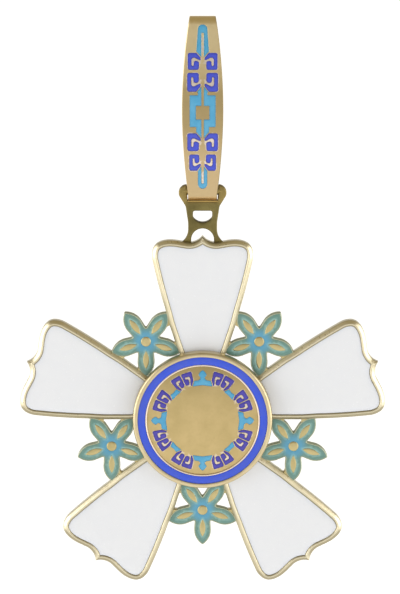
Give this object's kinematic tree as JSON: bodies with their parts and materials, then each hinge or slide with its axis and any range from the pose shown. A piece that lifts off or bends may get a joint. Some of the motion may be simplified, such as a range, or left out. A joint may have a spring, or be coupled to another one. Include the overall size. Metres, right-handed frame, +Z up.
{
  "type": "order neck badge",
  "caption": "Enamelled star with leaf flowers between its arms and a domed round middle, hung by a hinged link from a flat ribbon loop that a neck ribbon passes through.",
  "frame": {"origin": "inside the top bend of the ribbon loop, on its middle line, where the neck ribbon bears", "axes": "+Z up as the badge hangs, +X to the right of someone who faces it, and the front faces -Y"},
  "size_m": [0.0602, 0.007, 0.0938],
  "materials": {
    "silver_gilt": "polished gilding, worn paler on the crests and darker in the hollows",
    "white_enamel": "glossy opaque fired enamel",
    "green_enamel": "glossy translucent fired enamel",
    "deep_blue_enamel": "glossy fired enamel",
    "violet_blue_enamel": "glossy fired enamel",
    "turquoise_enamel": "glossy fired enamel"
  },
  "bodies": {
    "loop": {"ribbon_loop": "silver_gilt", "loop_scrolls": "violet_blue_enamel", "loop_bars": "turquoise_enamel"},
    "badge": {"star_frame": "silver_gilt", "arm_enamel_1": "white_enamel", "arm_enamel_2": "white_enamel", "arm_enamel_3": "white_enamel", "arm_enamel_4": "white_enamel", "arm_enamel_5": "white_enamel", "flower_enamel_1": "green_enamel", "flower_enamel_2": "green_enamel", "flower_enamel_3": "green_enamel", "flower_enamel_4": "green_enamel", "flower_enamel_5": "green_enamel", "medallion": "silver_gilt", "ring_enamel": "deep_blue_enamel", "field_scrolls": "violet_blue_enamel", "field_ornaments": "turquoise_enamel"}
  },
  "joints": [
    {"name": "badge_swing", "type": "hinge", "parent": "loop", "child": "badge", "pos_m": [0, 0, -0.02735], "axis": [1, 0, 0], "range_deg": [-60, 60]}
  ]
}
